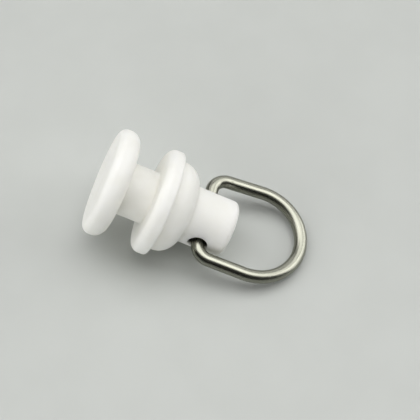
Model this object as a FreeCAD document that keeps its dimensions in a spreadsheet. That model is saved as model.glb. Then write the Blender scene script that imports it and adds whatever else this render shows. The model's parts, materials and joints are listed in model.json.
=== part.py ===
"""Curtain glider: a moulded body that runs in a track and the wire ring that the curtain hangs from.

Millimetres, +Z up. The glider lies as it comes to rest on a flat surface at Z = 0: on the flange's rim
and the end of its tail, with the ring's bow touching the surface. +X runs from the head towards the ring,
and Y is across, along the hole that the ring's leg turns in. The origin is under the middle of the whole
outline.
"""
import FreeCAD
import Part
import Sketcher
import math
import os

Vector = FreeCAD.Vector

sizes = [
    # The head runs inside the track.
    ("head_diameter", "18.0"),
    ("head_thickness", "3.7"),
    ("head_front_round", "1.3"),
    ("head_back_round", "2.0"),
    # The neck passes between the track's lips.
    ("neck_diameter", "8.8"),
    ("neck_length", "4.8"),
    ("neck_root_round", "0.3"),
    # The flange stays below the lips.
    ("flange_diameter", "17.8"),
    ("flange_thickness", "2.6"),
    ("flange_front_round", "1.4"),
    ("flange_back_round", "0.4"),
    # The shoulder starts as a short straight land and rounds down to the tail.
    ("shoulder_diameter", "15.2"),
    ("shoulder_land", "0.7"),
    ("shoulder_length", "4.05"),
    # The tail carries the cross hole. Its length is counted from the flange.
    ("tail_diameter", "9.6"),
    ("tail_length", "11.6"),
    ("tail_root_round", "0.5"),
    ("tail_end_round", "1.0"),
    ("hole_from_end", "4.55"),
    # The hole is wider than the wire by hole_play, and the leg lies near its bottom.
    ("wire_diameter", "2.2"),
    ("hole_play", "1.1"),
    ("seat_gap", "0.06"),
    # The ring: two leg ends that meet in the hole, tight bends, straight arms and a round bow.
    ("leg_end_gap", "0.6"),
    ("side_play", "0.45"),
    ("bend_radius", "2.5"),
    ("arm_length", "6.05"),
    ("bow_radius", "8.0"),
    # The ring lies pushed aside until one bend starts this far inside the hole's mouth.
    ("bend_entry", "0.65"),
]

doc = FreeCAD.newDocument("CurtainGlider")

sheet = doc.addObject("Spreadsheet::Sheet", "Sizes")
for row, (alias, value) in enumerate(sizes, start=1):
    sheet.set(f"A{row}", alias)
    sheet.set(f"B{row}", value)
    sheet.setAlias(f"B{row}", alias)
doc.recompute()


def size(alias):
    """A driving dimension as a number."""
    return float(sheet.get(alias))


# Places that follow from the sizes.
places = doc.addObject("App::VarSet", "Places")


def derive(kind, name, formula):
    """Adds a worked-out value, bound to the sizes and to the values before it."""
    places.addProperty("App::Property" + kind, name)
    places.setExpression(name, formula)


# Stations along the body's axis, counted from the head's outer face.
derive("Float", "flange_back", "Sizes.head_thickness + Sizes.neck_length + Sizes.flange_thickness")
derive("Float", "tail_end", "flange_back + Sizes.tail_length")
derive("Float", "hole_at", "tail_end - Sizes.hole_from_end")

# The body leans until the flange's back round and the tail's end round touch one plane, the surface below.
derive("Float", "flange_touch_at", "flange_back - Sizes.flange_back_round")
derive("Float", "flange_touch_radius", "Sizes.flange_diameter / 2 - Sizes.flange_back_round")
derive("Float", "touch_run", "tail_end - Sizes.tail_end_round - flange_touch_at")
derive("Float", "touch_drop", "flange_touch_radius - Sizes.tail_diameter / 2 + Sizes.tail_end_round")
derive("Angle", "touch_slope", "atan2(touch_drop; touch_run)")
derive("Float", "round_difference", "Sizes.flange_back_round - Sizes.tail_end_round")
derive("Angle", "body_lean", "touch_slope + asin(round_difference / hypot(touch_run; touch_drop))")
derive("Float", "body_height", "flange_touch_at * sin(body_lean) + flange_touch_radius * cos(body_lean)"
       " + Sizes.flange_back_round")

# From the ring's middle to the start of a bend, the leg is longer than half the tail by the side play.
derive("Float", "leg_half", "Sizes.tail_diameter / 2 + Sizes.side_play")
derive("Float", "radius_step", "Sizes.bow_radius - Sizes.bend_radius")
derive("Float", "bend_to_bow", "sqrt(pow(Sizes.arm_length; 2) + pow(radius_step; 2) - pow(leg_half; 2))")
derive("Float", "ring_reach", "Sizes.bend_radius + bend_to_bow + Sizes.bow_radius")

# The leg lies at the bottom of the hole, with room for the bend that starts inside the mouth to turn there.
# The ring leans until its bow touches the surface.
derive("Float", "bend_sag", "Sizes.bend_radius"
       " - sqrt(pow(Sizes.bend_radius; 2) - pow(Sizes.bend_entry; 2))")
derive("Float", "leg_drop", "Sizes.hole_play / 2 - Sizes.seat_gap - bend_sag")
derive("Float", "leg_height", "body_height - hole_at * sin(body_lean) - leg_drop")
derive("Angle", "ring_lean", "asin((leg_height - Sizes.wire_diameter / 2) / ring_reach)")

# The origin is under the middle of the outline.
derive("Float", "ring_push", "Sizes.side_play + Sizes.bend_entry")
derive("Float", "leg_from_head", "hole_at * cos(body_lean)")
derive("Float", "front_reach", "leg_from_head + ring_reach * cos(ring_lean) + Sizes.wire_diameter / 2")
derive("Float", "back_reach", "(Sizes.head_diameter / 2 - Sizes.head_front_round) * sin(body_lean)"
       " + Sizes.head_front_round * (1 - cos(body_lean))")
derive("Float", "head_half", "Sizes.head_diameter / 2")
derive("Float", "ring_half", "Sizes.bow_radius + Sizes.wire_diameter / 2")
derive("Float", "body_x", "(back_reach - front_reach) / 2")
derive("Float", "left_side", "min(-head_half; ring_push - ring_half)")
derive("Float", "right_side", "max(head_half; ring_push + ring_half)")
derive("Float", "body_y", "-(left_side + right_side) / 2")
doc.recompute()


def place(name):
    """A worked-out value as a number, angles in degrees."""
    value = getattr(places, name)
    return getattr(value, "Value", value)


def origin_plane(body, role):
    """One of a body's own three planes."""
    return next(item for item in body.Origin.OriginFeatures if item.Role == role)


def new_sketch(body, name, role):
    """An empty sketch on one of the body's own planes."""
    sketch = body.newObject("Sketcher::SketchObject", name)
    sketch.AttachmentSupport = [(origin_plane(body, role), "")]
    sketch.MapMode = "FlatFace"
    return sketch


def bind(sketch, formula, *constraint):
    """A dimension of a sketch that follows the sizes."""
    index = sketch.addConstraint(Sketcher.Constraint(*constraint))
    sketch.setExpression(f"Constraints[{index}]", formula)


def relate(sketch, *constraint):
    """A relation within a sketch."""
    sketch.addConstraint(Sketcher.Constraint(*constraint))


# How a sketch numbers the points of a line or arc, its two axes and its origin.
START = 1
END = 2
CENTRE = 3
AXIS_ALONG = -1
AXIS_UP = -2
ORIGIN = (-1, 1)

# Lengths nearer than this are the same, and volumes that differ by a smaller share.
SAME_LENGTH = 1e-6
SAME_SHARE = 1e-3


def half_outline(body):
    """The body's half outline over its axis, with square corners and the shoulder's arc."""
    sketch = new_sketch(body, "HalfOutline", "XZ_Plane")
    head_back = size("head_thickness")
    flange_front = head_back + size("neck_length")
    flange_back = place("flange_back")
    land_end = flange_back + size("shoulder_land")
    shoulder_end = flange_back + size("shoulder_length")
    tail_end = place("tail_end")
    head, neck, flange, shoulder, tail = (
        size(name + "_diameter") / 2 for name in ("head", "neck", "flange", "shoulder", "tail"))
    corners = [(0, 0), (0, head), (head_back, head), (head_back, neck), (flange_front, neck),
               (flange_front, flange), (flange_back, flange), (flange_back, shoulder), (land_end, shoulder),
               (shoulder_end, tail), (tail_end, tail), (tail_end, 0)]
    points = [Vector(along, out, 0) for along, out in corners]

    names = ["face", "head_rim", "underside", "neck", "flange_front", "flange_rim", "flange_back", "land",
             "shoulder", "tail", "end", "axis"]
    line = {}
    for index, name in enumerate(names):
        first, second = points[index], points[(index + 1) % len(points)]
        if name == "shoulder":
            # An arc that leaves the land square to its end and meets the tail at the shoulder's length.
            run, drop = second.x - first.x, first.y - second.y
            radius = (run * run + drop * drop) / (2 * drop)
            middle = Vector(first.x, first.y - radius, 0)
            meets = math.atan2(second.y - middle.y, run)
            circle = Part.Circle(middle, Vector(0, 0, 1), radius)
            line[name] = sketch.addGeometry(Part.ArcOfCircle(circle, meets, math.pi / 2))
        else:
            line[name] = sketch.addGeometry(Part.LineSegment(first, second))

    relate(sketch, "Coincident", line["face"], START, *ORIGIN)
    for name, following in zip(names, names[1:] + names[:1]):
        if "shoulder" not in (name, following):
            relate(sketch, "Coincident", line[name], END, line[following], START)
    relate(sketch, "Tangent", line["land"], END, line["shoulder"], END)
    relate(sketch, "Coincident", line["shoulder"], START, line["tail"], START)
    for name in ("head_rim", "neck", "flange_rim", "land", "tail", "axis"):
        relate(sketch, "Horizontal", line[name])
    for name in ("face", "underside", "flange_front", "flange_back", "end"):
        relate(sketch, "Vertical", line[name])

    for edge, alias in (("head_rim", "head_diameter"), ("neck", "neck_diameter"),
                        ("flange_rim", "flange_diameter"), ("land", "shoulder_diameter"),
                        ("tail", "tail_diameter")):
        bind(sketch, f"Sizes.{alias} / 2", "DistanceY", *ORIGIN, line[edge], END, size(alias) / 2)
    for edge, alias in (("head_rim", "head_thickness"), ("neck", "neck_length"),
                        ("flange_rim", "flange_thickness"), ("land", "shoulder_land")):
        bind(sketch, "Sizes." + alias, "DistanceX", line[edge], START, line[edge], END, size(alias))
    for point, alias in ((START, "shoulder_length"), (END, "tail_length")):
        bind(sketch, "Sizes." + alias, "DistanceX", line["land"], START, line["tail"], point, size(alias))
    return sketch


def round_edge(body, feature, name, *turned_edges):
    """Rounds the turned edges that lie at the given stations and radii, by the size called name."""
    doc.recompute()
    found = []
    for along, radius in turned_edges:
        for index, edge in enumerate(feature.Shape.Edges, start=1):
            curve = edge.Curve
            if not isinstance(curve, Part.Circle):
                continue
            if abs(curve.Center.x - along) < SAME_LENGTH and abs(curve.Radius - radius) < SAME_LENGTH:
                found.append(f"Edge{index}")
    fillet = body.newObject("PartDesign::Fillet", name.title().replace("_", ""))
    fillet.Base = (feature, found)
    fillet.setExpression("Radius", "Sizes." + name)
    return fillet


def glider_body():
    """The moulded body: a turned form, its rounded edges and the cross hole."""
    body = doc.addObject("PartDesign::Body", "GliderBody")
    body.Label = "glider_body"
    outline = half_outline(body)
    turned = body.newObject("PartDesign::Revolution", "Turned")
    turned.Profile = outline
    turned.ReferenceAxis = (outline, ["H_Axis"])
    turned.Angle = 360

    head_back = size("head_thickness")
    flange_front = head_back + size("neck_length")
    flange_back = place("flange_back")
    shoulder_end = flange_back + size("shoulder_length")
    tail_end = place("tail_end")
    head, neck, flange, tail = (size(name + "_diameter") / 2 for name in ("head", "neck", "flange", "tail"))
    rounded = round_edge(body, turned, "head_front_round", (0, head))
    rounded = round_edge(body, rounded, "head_back_round", (head_back, head))
    rounded = round_edge(body, rounded, "neck_root_round", (head_back, neck), (flange_front, neck))
    rounded = round_edge(body, rounded, "flange_front_round", (flange_front, flange))
    rounded = round_edge(body, rounded, "flange_back_round", (flange_back, flange))
    rounded = round_edge(body, rounded, "tail_root_round", (shoulder_end, tail))
    rounded = round_edge(body, rounded, "tail_end_round", (tail_end, tail))
    doc.recompute()

    hole_circle = new_sketch(body, "HoleCircle", "XZ_Plane")
    radius = (size("wire_diameter") + size("hole_play")) / 2
    centre = Vector(place("hole_at"), 0, 0)
    ring = hole_circle.addGeometry(Part.Circle(centre, Vector(0, 0, 1), radius))
    relate(hole_circle, "PointOnObject", ring, CENTRE, AXIS_ALONG)
    bind(hole_circle, "Places.hole_at", "DistanceX", *ORIGIN, ring, CENTRE, centre.x)
    bind(hole_circle, "Sizes.wire_diameter / 2 + Sizes.hole_play / 2", "Radius", ring, radius)
    hole = body.newObject("PartDesign::Pocket", "CrossHole")
    hole.Profile = hole_circle
    hole.Type = "ThroughAll"
    hole.SideType = "Symmetric"

    body.Placement = FreeCAD.Placement(Vector(), FreeCAD.Rotation(Vector(0, 1, 0), place("body_lean")))
    body.setExpression("Placement.Base.x", "Places.body_x")
    body.setExpression("Placement.Base.y", "Places.body_y")
    body.setExpression("Placement.Base.z", "Places.body_height")
    body.setExpression("Placement.Rotation.Angle", "Places.body_lean")
    doc.recompute()
    if hole.Shape.Volume >= rounded.Shape.Volume:
        raise RuntimeError("the cross hole removed nothing")
    return body


def wire_path(body):
    """The wire's centre line: leg, bend, arm, bow and back, open between the two leg ends."""
    sketch = new_sketch(body, "WirePath", "XY_Plane")
    leg_half, bend, bow = place("leg_half"), size("bend_radius"), size("bow_radius")
    gap = size("leg_end_gap") / 2
    run = place("bend_to_bow")
    bow_at = bend + run
    # The angle by which the arms open outwards, between two circles that they both touch.
    spread = math.asin((bow - bend) / math.hypot(run, leg_half)) - math.atan2(leg_half, run)
    touch = Vector(-math.sin(spread), math.cos(spread), 0)
    bend_end = Vector(bend, leg_half, 0) + touch * bend
    bow_start = Vector(bow_at, 0, 0) + touch * bow
    quarter = math.pi / 2

    def straight(first, second):
        return sketch.addGeometry(Part.LineSegment(first, second))

    def arc(middle, radius, first, second):
        circle = Part.Circle(middle, Vector(0, 0, 1), radius)
        return sketch.addGeometry(Part.ArcOfCircle(circle, first, second))

    def across(point):
        return Vector(point.x, -point.y, 0)

    leg = straight(Vector(0, gap, 0), Vector(0, leg_half, 0))
    first_bend = arc(Vector(bend, leg_half, 0), bend, quarter + spread, 2 * quarter)
    arm = straight(bend_end, bow_start)
    round_bow = arc(Vector(bow_at, 0, 0), bow, -quarter - spread, quarter + spread)
    other_arm = straight(across(bow_start), across(bend_end))
    other_bend = arc(Vector(bend, -leg_half, 0), bend, 2 * quarter, 3 * quarter - spread)
    other_leg = straight(Vector(0, -leg_half, 0), Vector(0, -gap, 0))

    relate(sketch, "PointOnObject", leg, START, AXIS_UP)
    relate(sketch, "Vertical", leg)
    bind(sketch, "Sizes.leg_end_gap / 2", "DistanceY", *ORIGIN, leg, START, gap)
    bind(sketch, "Places.leg_half", "DistanceY", *ORIGIN, leg, END, leg_half)
    relate(sketch, "Tangent", leg, END, first_bend, END)
    bind(sketch, "Sizes.bend_radius", "Radius", first_bend, bend)
    relate(sketch, "Tangent", first_bend, START, arm, START)
    bind(sketch, "Sizes.arm_length", "Distance", arm, size("arm_length"))
    relate(sketch, "Tangent", arm, END, round_bow, END)
    bind(sketch, "Sizes.bow_radius", "Radius", round_bow, bow)
    relate(sketch, "PointOnObject", round_bow, CENTRE, AXIS_ALONG)
    relate(sketch, "Tangent", round_bow, START, other_arm, START)
    relate(sketch, "Equal", arm, other_arm)
    relate(sketch, "Tangent", other_arm, END, other_bend, END)
    relate(sketch, "Equal", first_bend, other_bend)
    relate(sketch, "Tangent", other_bend, START, other_leg, START)
    relate(sketch, "Vertical", other_leg)
    relate(sketch, "Symmetric", leg, START, other_leg, END, AXIS_ALONG)
    return sketch


def wire_ring():
    """The ring: one round wire carried along its centre line."""
    body = doc.addObject("PartDesign::Body", "WireRing")
    body.Label = "wire_ring"
    path = wire_path(body)
    section = new_sketch(body, "WireSection", "XZ_Plane")
    section.setExpression("AttachmentOffset.Base.z", "-Sizes.leg_end_gap / 2")
    radius = size("wire_diameter") / 2
    circle = section.addGeometry(Part.Circle(Vector(), Vector(0, 0, 1), radius))
    relate(section, "Coincident", circle, CENTRE, *ORIGIN)
    bind(section, "Sizes.wire_diameter / 2", "Radius", circle, radius)
    doc.recompute()
    wire = body.newObject("PartDesign::AdditivePipe", "Wire")
    wire.Profile = section
    wire.Spine = path

    body.Placement = FreeCAD.Placement(Vector(), FreeCAD.Rotation(Vector(0, 1, 0), place("ring_lean")))
    body.setExpression("Placement.Base.x", "Places.body_x + Places.leg_from_head")
    body.setExpression("Placement.Base.y", "Places.body_y + Places.ring_push")
    body.setExpression("Placement.Base.z", "Places.leg_height")
    body.setExpression("Placement.Rotation.Angle", "Places.ring_lean")
    doc.recompute()
    length = sum(edge.Length for edge in path.Shape.Edges)
    if abs(wire.Shape.Volume - math.pi * radius ** 2 * length) > SAME_SHARE * wire.Shape.Volume:
        raise RuntimeError("the wire's volume isn't its section times its length")
    return body


pieces = [glider_body(), wire_ring()]
doc.recompute()

for item in doc.Objects:
    if "Invalid" in item.State or "Error" in item.State:
        raise RuntimeError(f"{item.Name} failed: {item.State}")
for piece in pieces:
    if piece.Shape.isNull() or not piece.Shape.isValid() or len(piece.Shape.Solids) != 1:
        raise RuntimeError(f"{piece.Label} isn't one sound solid")

os.makedirs("parts", exist_ok=True)
for piece in pieces:
    piece.Shape.exportStep(f"parts/{piece.Label}.step")
    box = piece.Shape.BoundBox
    print(f"{piece.Label}: {piece.Shape.Volume:.1f} mm3, X {box.XMin:.3f} to {box.XMax:.3f},"
          f" Y {box.YMin:.3f} to {box.YMax:.3f}, Z {box.ZMin:.3f} to {box.ZMax:.3f}")
print(f"body leans {place('body_lean'):.3f} degrees, ring leans {place('ring_lean'):.3f} degrees")
leg = pieces[1].Placement.Base
print(f"leg centre at {leg.x:.4f}, {leg.y:.4f}, {leg.z:.4f}")
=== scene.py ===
import json
import math

import bpy
import numpy as np
from mathutils import Matrix


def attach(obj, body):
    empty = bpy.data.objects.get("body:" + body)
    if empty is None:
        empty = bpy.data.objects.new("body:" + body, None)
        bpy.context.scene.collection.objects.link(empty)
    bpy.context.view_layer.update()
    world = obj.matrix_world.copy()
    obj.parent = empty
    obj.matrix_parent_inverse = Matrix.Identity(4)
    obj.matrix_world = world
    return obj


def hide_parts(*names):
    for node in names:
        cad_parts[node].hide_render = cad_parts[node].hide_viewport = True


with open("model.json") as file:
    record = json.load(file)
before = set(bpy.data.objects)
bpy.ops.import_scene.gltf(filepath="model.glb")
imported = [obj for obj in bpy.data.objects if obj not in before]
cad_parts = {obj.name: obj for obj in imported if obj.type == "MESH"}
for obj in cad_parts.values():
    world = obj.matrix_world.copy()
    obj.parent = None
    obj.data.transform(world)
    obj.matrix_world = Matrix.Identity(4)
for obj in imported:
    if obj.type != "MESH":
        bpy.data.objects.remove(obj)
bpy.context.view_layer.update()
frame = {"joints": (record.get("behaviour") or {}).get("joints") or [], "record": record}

mm = 0.001  # in metres
quarter = math.pi / 2


# a vector divided by its own length
def unit(vector):
    return np.asarray(vector, float) / np.linalg.norm(vector)


# where the frame puts the body's axis and the ring's leg
mounts = {mount["name"]: mount for mount in frame["record"]["mounts"]}
swing = frame["joints"][0]
acrossAxis = unit(swing["axis"])
bodyAxis = unit(mounts["track_seat"]["axis"])
bodyUp = np.cross(bodyAxis, acrossAxis)
neckMiddle = np.array(mounts["track_neck"]["pos_m"])
legMiddle = np.array(swing["pos_m"])
ringNormal = unit(mounts["ring_loop"]["axis"])
ringOut = np.cross(acrossAxis, ringNormal)


# puts points and faces into a new object at the origin, shaded smooth
def putMesh(name, points, quads, triangles):
    mesh = bpy.data.meshes.new(name)
    mesh.from_pydata(points, [], quads.tolist() + triangles.tolist())
    mesh.polygons.foreach_set("use_smooth", np.ones(len(mesh.polygons), bool))
    mesh.update()
    piece = bpy.data.objects.new(name, mesh)
    bpy.context.scene.collection.objects.link(piece)
    return piece


# points of a straight run, evenly spaced from the first to the last
def lineRun(first, last, count):
    share = np.linspace(0, 1, count + 1)[:, None]
    return (1 - share) * np.asarray(first, float) + share * np.asarray(last, float)


# points of a circular run: the middle plus the radius times the cosine and sine of the turn
def arcRun(middle, radius, fromDeg, toDeg, count):
    turn = np.radians(np.linspace(fromDeg, toDeg, count + 1))
    return np.asarray(middle, float) + radius * np.stack([np.cos(turn), np.sin(turn)], 1)


# joins runs that share their end points into one line of points
def joinRuns(runs):
    return np.concatenate([runs[0]] + [run[1:] for run in runs[1:]])


# what the moulded body can be changed by: sizes in millimetres, then the counts of its grid
gliderSizes = {
    "headRadius": 9.0, "headThick": 3.7, "headFrontRound": 1.3, "headBackRound": 2.0,
    "neckRadius": 4.4, "neckLength": 4.8, "neckRoot": 0.3,
    "flangeRadius": 8.9, "flangeThick": 2.6, "flangeFrontRound": 1.4, "flangeBackRound": 0.4,
    "shoulderRadius": 7.6, "shoulderLand": 0.7, "shoulderLength": 4.05, "stepRoot": 0.12,
    "tailRadius": 4.8, "tailLength": 11.6, "tailRoot": 0.5, "tailEndRound": 1.0,
    # the last size on the next line is how deep into the cross hole the painted shade on its wall grows to
    # full
    "holeFromEnd": 4.55, "holeRadius": 1.65, "holeEdge": 0.13, "holeReach": 2.25, "paintedShadeDepth": 1.1,
    "columns": 180, "holeColumns": 14, "holeRows": 28,
    "skinLoops": 8, "skinEase": 1.6, "lipLoops": 6, "wallLoops": 13,
}


# the turned outline from the head's face to the tail's end as (along, out), the hole block's first row
# and the hole's place along the axis
def gliderOutline(size):
    head, neck, flange = size["headRadius"], size["neckRadius"], size["flangeRadius"]
    land, tail = size["shoulderRadius"], size["tailRadius"]
    front, under = size["headFrontRound"], size["headBackRound"]
    root, lip, heel = size["neckRoot"], size["flangeFrontRound"], size["flangeBackRound"]
    step, fillet, nose = size["stepRoot"], size["tailRoot"], size["tailEndRound"]
    headBack = size["headThick"]
    flangeFront = headBack + size["neckLength"]
    flangeBack = flangeFront + size["flangeThick"]
    landEnd = flangeBack + size["shoulderLand"]
    tailEnd = flangeBack + size["tailLength"]
    holeAt = tailEnd - size["holeFromEnd"]
    blockStart, blockEnd = holeAt - size["holeReach"], holeAt + size["holeReach"]
    # the shoulder's arc leaves the land level and would meet the tail at the shoulder's length
    run, drop = size["shoulderLength"] - size["shoulderLand"], land - tail
    dome = (run * run + drop * drop) / (2 * drop)
    domeLow = land - dome
    # the fillet touches that arc and the tail
    filletRun = math.sqrt((dome + fillet) ** 2 - (tail + fillet - domeLow) ** 2)
    meets = math.degrees(math.atan2(tail + fillet - domeLow, filletRun))
    filletAt = landEnd + filletRun
    # each run ends with its number of steps
    beforeHole = [
        lineRun((0, 0), (0, head - front), 20),
        arcRun((front, head - front), front, 180, 90, 14),
        lineRun((front, head), (headBack - under, head), 3),
        arcRun((headBack - under, head - under), under, 90, 0, 14),
        lineRun((headBack, head - under), (headBack, neck + root), 7),
        arcRun((headBack + root, neck + root), root, 180, 270, 7),
        lineRun((headBack + root, neck), (flangeFront - root, neck), 11),
        arcRun((flangeFront - root, neck + root), root, 270, 360, 7),
        lineRun((flangeFront, neck + root), (flangeFront, flange - lip), 9),
        arcRun((flangeFront + lip, flange - lip), lip, 180, 90, 12),
        lineRun((flangeFront + lip, flange), (flangeBack - heel, flange), 4),
        arcRun((flangeBack - heel, flange - heel), heel, 90, 0, 8),
        lineRun((flangeBack, flange - heel), (flangeBack, land + step), 4),
        arcRun((flangeBack + step, land + step), step, 180, 270, 5),
        lineRun((flangeBack + step, land), (landEnd, land), 3),
        arcRun((landEnd, domeLow), dome, 90, meets, 20),
        arcRun((filletAt, tail + fillet), fillet, 180 + meets, 270, 9),
        lineRun((filletAt, tail), (blockStart, tail), 2),
    ]
    fromHole = [
        lineRun((blockStart, tail), (blockEnd, tail), size["holeRows"]),
        lineRun((blockEnd, tail), (tailEnd - nose, tail), 6),
        arcRun((tailEnd - nose, tail - nose), nose, 90, 0, 10),
        lineRun((tailEnd, tail - nose), (tailEnd, 0), 10),
    ]
    firstHoleRow = sum(len(run) - 1 for run in beforeHole)
    return joinRuns(beforeHole + fromHole), firstHoleRow, holeAt


# the body: head face plus along times the axis plus out times a turning radius, with a sleeve round the
# cross hole
def makeGliderBody(size):
    outline, firstRow, holeAt = gliderOutline(size)
    headFace = neckMiddle - (size["headThick"] + size["neckLength"] / 2) * mm * bodyAxis
    columns, rows = size["columns"], len(outline)
    turn = np.arange(columns) * 2 * math.pi / columns
    along, out = outline[1:-1, 0, None, None], outline[1:-1, 1, None, None]
    spokes = np.cos(turn)[:, None] * bodyUp + np.sin(turn)[:, None] * acrossAxis
    rings = headFace + mm * (along * bodyAxis + out * spokes)
    poles = headFace + mm * outline[[0, -1], 0, None] * bodyAxis

    # rings are numbered from 0, then come the two poles and the sleeve's own points
    number = np.arange((rows - 2) * columns).reshape(rows - 2, columns)
    firstPole, lastPole = number.size, number.size + 1
    here, beyond = number[:-1], number[1:]
    quads = np.stack([here, beyond, np.roll(beyond, -1, 1), np.roll(here, -1, 1)], -1)
    keep = np.ones(quads.shape[:2], bool)
    top, low = firstRow - 1, firstRow - 1 + size["holeRows"]
    half = size["holeColumns"]
    right, left = columns // 4, 3 * columns // 4
    keep[top:low, right - half:right + half] = False
    keep[top:low, left - half:left + half] = False
    headFan = np.stack([np.full(columns, firstPole), number[0], np.roll(number[0], -1)], 1)
    tailFan = np.stack([np.full(columns, lastPole), np.roll(number[-1], -1), number[-1]], 1)

    # the hole block's edge as row and column numbers, turning from the tail's end towards the top
    edgeRow = np.concatenate([np.full(half, low), np.arange(low, top, -1), np.full(2 * half, top),
                              np.arange(top, low), np.full(half, low)])
    edgeColumn = np.concatenate([np.arange(right, right - half, -1), np.full(low - top, right - half),
                                 np.arange(right - half, right + half), np.full(low - top, right + half),
                                 np.arange(right + half, right, -1)])
    nearEdge = number[edgeRow, edgeColumn]
    farEdge = number[edgeRow, (columns - edgeColumn) % columns]

    # flat places of the edge: along from the hole's middle, and height over it
    tail, hole, edge = size["tailRadius"], size["holeRadius"], size["holeEdge"]
    flat = np.stack([outline[edgeRow + 1, 0] - holeAt, tail * np.cos(turn[edgeColumn])], 1)
    toward = flat / np.linalg.norm(flat, axis=1)[:, None]
    # inwards over the skin to the hole's rounded edge, round it, and down the wall to the middle
    step = np.linspace(0, 1, size["skinLoops"] + 1)[1:]
    share = (1 - (1 - step) ** size["skinEase"])[:, None, None]
    skin = (1 - share) * flat + share * (hole + edge) * toward
    lean = np.linspace(0, quarter, size["lipLoops"] + 1)[1:, None, None]
    lip = (hole + edge * (1 - np.sin(lean))) * toward
    depth = np.concatenate([np.zeros(len(skin)), edge * (1 - np.cos(lean[:, 0, 0]))])
    places = np.concatenate([skin, lip])
    level = np.sqrt(tail ** 2 - places[..., 1] ** 2) - depth[:, None]
    wallShare = np.linspace(1, -1, size["wallLoops"] + 2)[1:-1, None]
    wall = np.repeat(places[-1:], size["wallLoops"], 0)
    places = np.concatenate([places, wall, places[::-1]])
    level = np.concatenate([level, wallShare * level[-1], -level[::-1]])
    sleeve = (headFace + mm * ((holeAt + places[..., :1]) * bodyAxis + places[..., 1:] * bodyUp
                               + level[..., None] * acrossAxis))
    sleeveNumber = lastPole + 1 + np.arange(level.size).reshape(level.shape)
    loops = np.concatenate([nearEdge[None], sleeveNumber, farEdge[None]])
    here, beyond = loops[:-1], loops[1:]
    sleeveQuads = np.stack([here, beyond, np.roll(beyond, -1, 1), np.roll(here, -1, 1)], -1)

    points = np.concatenate([rings.reshape(-1, 3), poles, sleeve.reshape(-1, 3)])
    faces = np.concatenate([quads[keep], sleeveQuads.reshape(-1, 4)])
    piece = putMesh("gliderBody", points, faces, np.concatenate([headFan, tailFan]))

    # how deep in the hole each point lies, as the mask of the painted shade on the hole's wall: 0 outside
    # and on the edge's round, 1 from the shade's full depth inwards
    outer = len(skin) + len(lip)
    deep = np.zeros(level.shape)
    deep[outer:-outer] = np.clip((level[outer - 1] - abs(level[outer:-outer])) / size["paintedShadeDepth"], 0, 1)
    inward = np.concatenate([np.zeros(lastPole + 1), deep.ravel()])
    piece.data.attributes.new("shadeMaskDepth", "FLOAT", "POINT").data.foreach_set("value", inward)
    return piece


# what the bent wire can be changed by: sizes in millimetres, then the counts of its grid
ringSizes = {
    "wireRadius": 1.1, "endGap": 0.6, "legHalf": 5.25, "bendRadius": 2.5, "armLength": 6.05,
    "bowRadius": 8.0, "endChamfer": 0.2, "bendFlat": 0.03, "step": 0.2, "sides": 48,
    "bendSteps": 24, "squeezeRows": 14,
}


# the wire's centre line as (out, across), and how near each point is to a bend's middle, from 0 to 1
def ringPath(size):
    leg, bend, bow = size["legHalf"], size["bendRadius"], size["bowRadius"]
    gap, step = size["endGap"] / 2, size["step"]
    run = math.sqrt(size["armLength"] ** 2 + (bow - bend) ** 2 - leg ** 2)
    spread = math.degrees(math.asin((bow - bend) / math.hypot(run, leg)) - math.atan2(leg, run))
    bendEnd = arcRun((bend, leg), bend, 90 + spread, 90 + spread, 1)[0]
    bowStart = arcRun((bend + run, 0), bow, 90 + spread, 90 + spread, 1)[0]
    halfRuns = [
        lineRun((0, gap), (0, leg), round((leg - gap) / step)),
        arcRun((bend, leg), bend, 180, 90 + spread, size["bendSteps"]),
        lineRun(bendEnd, bowStart, round(size["armLength"] / step)),
        arcRun((bend + run, 0), bow, 90 + spread, 0, round(quarter * bow / step)),
    ]
    half = joinRuns(halfRuns)
    path = np.concatenate([half, half[-2::-1] * [1, -1]])
    bendRow = len(halfRuns[0]) - 1 + size["bendSteps"] // 2
    rows = np.arange(len(path))
    nearest = np.minimum(abs(rows - bendRow), abs(len(path) - 1 - bendRow - rows))
    return path, np.clip(1 - nearest / size["squeezeRows"], 0, 1)


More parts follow.
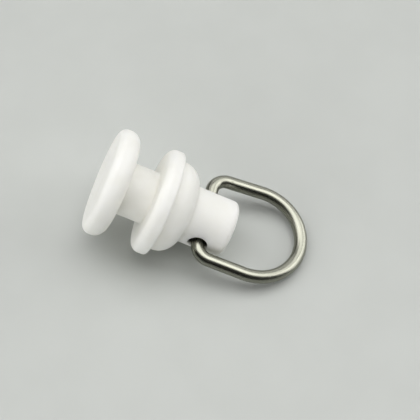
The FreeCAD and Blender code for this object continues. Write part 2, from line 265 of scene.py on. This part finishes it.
# the wire: a circle carried along the centre line, squeezed a little in the bends, with chamfered ends
def makeWireRing(size):
    path, bent = ringPath(size)
    radius, chamfer = size["wireRadius"], size["endChamfer"]
    ahead = np.gradient(path, axis=0)
    ahead /= np.linalg.norm(ahead, axis=1)[:, None]
    travelled = np.concatenate([[0], np.cumsum(np.linalg.norm(np.diff(path, axis=0), axis=1))])
    reach = np.minimum(travelled, travelled[-1] - travelled)
    girth = radius - chamfer + np.minimum(reach, chamfer)
    turn = np.arange(size["sides"]) * 2 * math.pi / size["sides"]
    # the squeeze rises smoothly to the middle of a bend
    squeeze = 1 - size["bendFlat"] * bent ** 2 * (3 - 2 * bent)
    outward = ahead[:, [1]] * [-1, 0] + ahead[:, [0]] * [0, 1]
    sideways = (girth * squeeze)[:, None] * np.cos(turn)
    height = girth[:, None] * np.sin(turn)
    flat = path[:, None] + sideways[..., None] * outward[:, None]
    points = legMiddle + mm * (flat[..., :1] * ringOut + flat[..., 1:] * acrossAxis
                               + height[..., None] * ringNormal)
    ends = legMiddle + mm * (path[[0, -1], :1] * ringOut + path[[0, -1], 1:] * acrossAxis)

    number = np.arange(points[..., 0].size).reshape(points.shape[:2])
    here, beyond = number[:-1], number[1:]
    quads = np.stack([here, np.roll(here, -1, 1), np.roll(beyond, -1, 1), beyond], -1).reshape(-1, 4)
    firstEnd = np.full(size["sides"], number.size)
    firstFan = np.stack([firstEnd, np.roll(number[0], -1), number[0]], 1)
    lastFan = np.stack([firstEnd + 1, number[-1], np.roll(number[-1], -1)], 1)
    piece = putMesh("wireRing", np.concatenate([points.reshape(-1, 3), ends]), quads,
                    np.concatenate([firstFan, lastFan]))

    # where each point was on the straight wire, in metres: along it, and round it as sideways and height
    aside, above = radius * np.cos(turn), radius * np.sin(turn)
    straight = np.stack(np.broadcast_arrays(travelled[:, None], aside, above), -1)
    straight = mm * np.concatenate([straight.reshape(-1, 3), [[0, 0, 0], [travelled[-1], 0, 0]]])
    attribute = piece.data.attributes.new("straightWire", "FLOAT_VECTOR", "POINT")
    attribute.data.foreach_set("vector", straight.ravel())
    return piece


# a socket that takes part in Python expressions, each operator adding a Math node
class Field:
    def __init__(self, tree, socket=None):
        self.tree = tree
        self.socket = socket

    # adds any other node: its type, its settings, then the values or links of its sockets
    def node(self, kind, settings=None, sockets=None, output=0):
        made = self.tree.nodes.new(kind)
        for name, value in (settings or {}).items():
            setattr(made, name, value)
        for name, value in (sockets or {}).items():
            if isinstance(value, Field):
                self.tree.links.new(value.socket, made.inputs[name])
            else:
                made.inputs[name].default_value = value
        return Field(self.tree, made.outputs[output]) if made.outputs else made

    # a Math node of one operation on two values
    def maths(self, operation, first, second):
        return self.node("ShaderNodeMath", {"operation": operation}, {0: first, 1: second})

    def __add__(self, other):
        return self.maths("ADD", self, other)

    def __radd__(self, other):
        return self.maths("ADD", other, self)

    def __sub__(self, other):
        return self.maths("SUBTRACT", self, other)

    def __rsub__(self, other):
        return self.maths("SUBTRACT", other, self)

    def __mul__(self, other):
        return self.maths("MULTIPLY", self, other)

    def __rmul__(self, other):
        return self.maths("MULTIPLY", other, self)

    # 0 below low, 1 above high, and a smooth rise between
    def rise(self, low, high):
        return self.node("ShaderNodeMapRange", {"interpolation_type": "SMOOTHSTEP"},
                         {"Value": self, "From Min": low, "From Max": high})

    # a mix of two colours by this value
    def blend(self, first, second):
        return self.node("ShaderNodeMix", {"data_type": "RGBA"}, {0: self, 6: first, 7: second}, 2)


# a material with no nodes yet, and a field to start its expressions from
def newMaterial(name):
    material = bpy.data.materials.new(name)
    material.use_nodes = True
    material.node_tree.nodes.clear()
    return material, Field(material.node_tree)


# noise on a vector, as a value round one half
def grain(at, scale, detail=2.0, rough=0.5):
    return at.node("ShaderNodeTexNoise", {},
                   {"Vector": at, "Scale": scale, "Detail": detail, "Roughness": rough}, "Fac")


# what the moulded plastic can be changed by; colours are linear
plasticLook = {
    "colour": (0.90, 0.893, 0.854, 1), "cloud": (0.872, 0.864, 0.815, 1),
    "cloudScale": 260, "cloudBand": (0.35, 0.7), "cloudHeight": 0.7,
    "rough": 0.52, "roughSpread": 0.1, "speckScale": 2600, "speckHeight": 0.6,
    "scuffScale": 420, "scuffTurn": (0.3, 0.5, 0.9), "scuffStretch": (1, 1, 9),
    "scuffBand": (0.58, 0.72), "scuffRough": 0.06, "scuffDip": 0.15,
    "bumpStrength": 0.12, "bumpDistance": 0.00004, "index": 1.46, "gloss": 0.35,
    "subsurface": 0.7, "bleed": (1.0, 0.99, 0.95), "bleedScale": 0.003,
    # painted shade: the dark colour laid on the wall deep inside the cross hole, and the band over which it
    # fades in
    "paintedHoleShade": (0.18, 0.17, 0.15, 1), "paintedShadeBand": (0.0, 0.7),
}


# white plastic: cloudy tint, fine moulded grain, faint handling scuffs, and painted shade that darkens the
# wall deep inside the cross hole
def makeWhitePlastic(look):
    material, base = newMaterial("whitePlastic")
    place = base.node("ShaderNodeTexCoord", output="Object")
    cloud = grain(place, look["cloudScale"], detail=3.0, rough=0.55)
    speck = grain(place, look["speckScale"])
    long = place.node("ShaderNodeMapping", {}, {
        "Vector": place, "Rotation": look["scuffTurn"], "Scale": look["scuffStretch"]})
    scuff = grain(long, look["scuffScale"]).rise(*look["scuffBand"])
    depth = base.node("ShaderNodeAttribute", {"attribute_name": "shadeMaskDepth"}, output="Fac")
    plasticTone = cloud.rise(*look["cloudBand"]).blend(look["colour"], look["cloud"])
    # painted shade: the wall deep in the cross hole is darkened towards the dark colour
    colour = depth.rise(*look["paintedShadeBand"]).blend(plasticTone, look["paintedHoleShade"])
    rough = look["rough"] + (speck - 0.5) * look["roughSpread"] + scuff * look["scuffRough"]
    height = speck * look["speckHeight"] + cloud * look["cloudHeight"] - scuff * look["scuffDip"]
    bump = base.node("ShaderNodeBump", {}, {
        "Strength": look["bumpStrength"], "Distance": look["bumpDistance"], "Height": height})
    shader = base.node("ShaderNodeBsdfPrincipled", {}, {
        "Base Color": colour, "Roughness": rough, "Normal": bump,
        "IOR": look["index"], "Specular IOR Level": look["gloss"],
        "Subsurface Weight": look["subsurface"], "Subsurface Radius": look["bleed"],
        "Subsurface Scale": look["bleedScale"]})
    base.node("ShaderNodeOutputMaterial", {}, {"Surface": shader})
    return material


# what the wire's finish can be changed by; colours are linear
wireLook = {
    "colour": (0.265, 0.266, 0.222, 1), "dull": (0.19, 0.191, 0.156, 1), "dullBand": (0.3, 0.8),
    "rough": 0.28, "roughSpread": 0.14, "spotRough": 0.08, "drawnOut": (0.035, 1, 1),
    "streakScale": 5200, "streakHeight": 0.7, "wideScale": 1300, "wideShare": 0.5, "wideHeight": 0.5,
    "spotScale": 900, "spotBand": (0.6, 0.75), "spotShare": 0.5,
    "bumpStrength": 0.16, "bumpDistance": 0.00003,
}


# satin wire: streaks drawn out along the straight wire before it was bent
def makeSatinWire(look):
    material, base = newMaterial("satinWire")
    place = base.node("ShaderNodeAttribute", {"attribute_name": "straightWire"}, output="Vector")
    drawn = base.node("ShaderNodeMapping", {}, {"Vector": place, "Scale": look["drawnOut"]})
    streak = grain(drawn, look["streakScale"], detail=3.0, rough=0.6)
    wide = grain(drawn, look["wideScale"])
    spot = grain(place, look["spotScale"], detail=3.0, rough=0.6).rise(*look["spotBand"])
    dulled = look["wideShare"] * wide + look["spotShare"] * spot
    colour = dulled.rise(*look["dullBand"]).blend(look["colour"], look["dull"])
    rough = look["rough"] + (streak - 0.5) * look["roughSpread"] + spot * look["spotRough"]
    height = streak * look["streakHeight"] + wide * look["wideHeight"]
    bump = base.node("ShaderNodeBump", {}, {
        "Strength": look["bumpStrength"], "Distance": look["bumpDistance"], "Height": height})
    shader = base.node("ShaderNodeBsdfPrincipled", {}, {
        "Base Color": colour, "Roughness": rough, "Normal": bump, "Metallic": 1.0})
    base.node("ShaderNodeOutputMaterial", {}, {"Surface": shader})
    return material


gliderBody = makeGliderBody(gliderSizes)
gliderBody.data.materials.append(makeWhitePlastic(plasticLook))
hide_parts("glider_body")
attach(gliderBody, "body")
print("glider: body", len(gliderBody.data.polygons), "faces")

wireRing = makeWireRing(ringSizes)
wireRing.data.materials.append(makeSatinWire(wireLook))
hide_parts("wire_ring")
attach(wireRing, "ring")
print("glider: ring", len(wireRing.data.polygons), "faces")

# the surface that the glider lies on: half its width in metres, and linear colours
floorLook = {
    "half": 3.0, "colour": (0.492, 0.509, 0.484, 1), "shade": (0.477, 0.494, 0.469, 1),
    "cloudScale": 90, "cloudBand": (0.3, 0.7), "rough": 0.55, "gloss": 0.6,
}


# a flat square of one quad
def makeFloor(look):
    half = look["half"]
    points = np.array([[-half, -half, 0], [half, -half, 0], [half, half, 0], [-half, half, 0]])
    piece = putMesh("floor", points, np.array([[0, 1, 2, 3]]), np.zeros((0, 3), int))
    material, base = newMaterial("paleFloor")
    place = base.node("ShaderNodeTexCoord", output="Object")
    cloud = grain(place, look["cloudScale"]).rise(*look["cloudBand"])
    colour = cloud.blend(look["colour"], look["shade"])
    shader = base.node("ShaderNodeBsdfPrincipled", {}, {
        "Base Color": colour, "Roughness": look["rough"], "Specular IOR Level": look["gloss"]})
    base.node("ShaderNodeOutputMaterial", {}, {"Surface": shader})
    piece.data.materials.append(material)
    return piece


makeFloor(floorLook)

# a light tent: a soft box overhead in three parts, a panel at the right and a broad fill from the front
# left, which mirrors don't see; the cards are seen in mirrors only; in metres and radiance
lightLevels = {
    "panels": {
        "overLeft": {"middle": (-0.8, 0.24, 1.2), "size": (1.0, 1.3), "level": 2.08},
        "overMiddle": {"middle": (0.15, 0.24, 1.2), "size": (0.9, 1.3), "level": 1.85},
        "overRight": {"middle": (0.95, 0.24, 1.2), "size": (0.7, 1.3), "level": 1.55},
        "rightPanel": {"middle": (1.2, 0.55, 0.5), "size": (1.4, 0.95), "level": 1.5},
        "frontFill": {"middle": (-0.75, -0.9, 0.4), "size": (2.5, 0.75), "level": 1.9, "mirrored": False},
        "overCard": {"middle": (0.1, 0.26, 1.3), "size": (2.9, 1.45), "level": 1.25, "lights": False},
        "rightCard": {"middle": (1.5, 0.7, 0.6), "size": (1.7, 1.15), "level": 1.2, "lights": False},
        "backCard": {"middle": (0.1, 1.5, 0.7), "size": (2.6, 0.9), "level": 1.1, "lights": False},
    },
    "roomToward": (0.0, 0.8, 0.6), "roomHigh": 0.1, "roomLow": 0.02, "roomFrom": -0.1, "roomTo": 0.9,
    "roomTint": (1.0, 1.0, 0.985, 1),
}


# a rectangle of light that faces the glider; its energy is pi times its area times its radiance
def softPanel(name, middle, size, level, mirrored=True, lights=True):
    lamp = bpy.data.lights.new(name, "AREA")
    lamp.shape = "RECTANGLE"
    lamp.size, lamp.size_y = size
    lamp.energy = math.pi * size[0] * size[1] * level
    back = unit(middle)
    nearlyOverhead = abs(back[2]) > 0.9
    side = unit(np.cross((0, 1, 0) if nearlyOverhead else (0, 0, 1), back))
    turned = Matrix(np.stack([side, np.cross(back, side), back], 1).tolist()).to_4x4()
    turned.translation = middle
    holder = bpy.data.objects.new(name, lamp)
    holder.matrix_world = turned
    holder.visible_glossy = mirrored
    holder.visible_diffuse = lights
    bpy.context.scene.collection.objects.link(holder)


# the panels, and a room whose light rises smoothly towards its bright side
def makeLight(levels):
    for name, panel in levels["panels"].items():
        softPanel(name, **panel)
    world = bpy.data.worlds.new("softRoom")
    bpy.context.scene.world = world
    world.use_nodes = True
    world.node_tree.nodes.clear()
    base = Field(world.node_tree)
    way = base.node("ShaderNodeTexCoord", output="Generated")
    toward = unit(levels["roomToward"]).tolist()
    facing = base.node("ShaderNodeVectorMath", {"operation": "DOT_PRODUCT"}, {0: way, 1: toward}, "Value")
    share = facing.rise(levels["roomFrom"], levels["roomTo"])
    level = levels["roomLow"] + share * (levels["roomHigh"] - levels["roomLow"])
    sky = base.node("ShaderNodeBackground", {}, {"Color": levels["roomTint"], "Strength": level})
    base.node("ShaderNodeOutputWorld", {}, {"Surface": sky})


makeLight(lightLevels)

# the camera: angles in degrees, metres, and a focal length in pixels of a square picture
cameraPlace = {
    "aim": (0.0011222, 0.0051697, 0.0), "azimuth": 10.984, "elevation": 57.5, "roll": 2.044,
    "distance": 0.20465, "sensor": 36, "focalPixels": 1200, "pictureWidth": 420, "clipStart": 0.01,
}


# stands back from the aim along the viewing angles, then rolls about the line of sight
def makeCamera(place):
    azimuth, elevation, roll = (math.radians(place[name]) for name in ("azimuth", "elevation", "roll"))
    back = np.array([math.sin(azimuth) * math.cos(elevation), -math.cos(azimuth) * math.cos(elevation),
                     math.sin(elevation)])
    level = np.array([math.cos(azimuth), math.sin(azimuth), 0])
    rising = np.cross(back, level)
    right = math.cos(roll) * level + math.sin(roll) * rising
    up = math.cos(roll) * rising - math.sin(roll) * level
    camera = bpy.data.cameras.new("photoView")
    camera.sensor_width = place["sensor"]
    camera.lens = place["sensor"] * place["focalPixels"] / place["pictureWidth"]
    camera.clip_start = place["clipStart"]
    holder = bpy.data.objects.new("photoView", camera)
    turned = Matrix(np.stack([right, up, back], 1).tolist()).to_4x4()
    turned.translation = (np.array(place["aim"]) + place["distance"] * back).tolist()
    holder.matrix_world = turned
    bpy.context.scene.collection.objects.link(holder)
    bpy.context.scene.camera = holder


makeCamera(cameraPlace)
bpy.context.scene.view_settings.view_transform = "Standard"
print("glider: floor, light and camera in place")
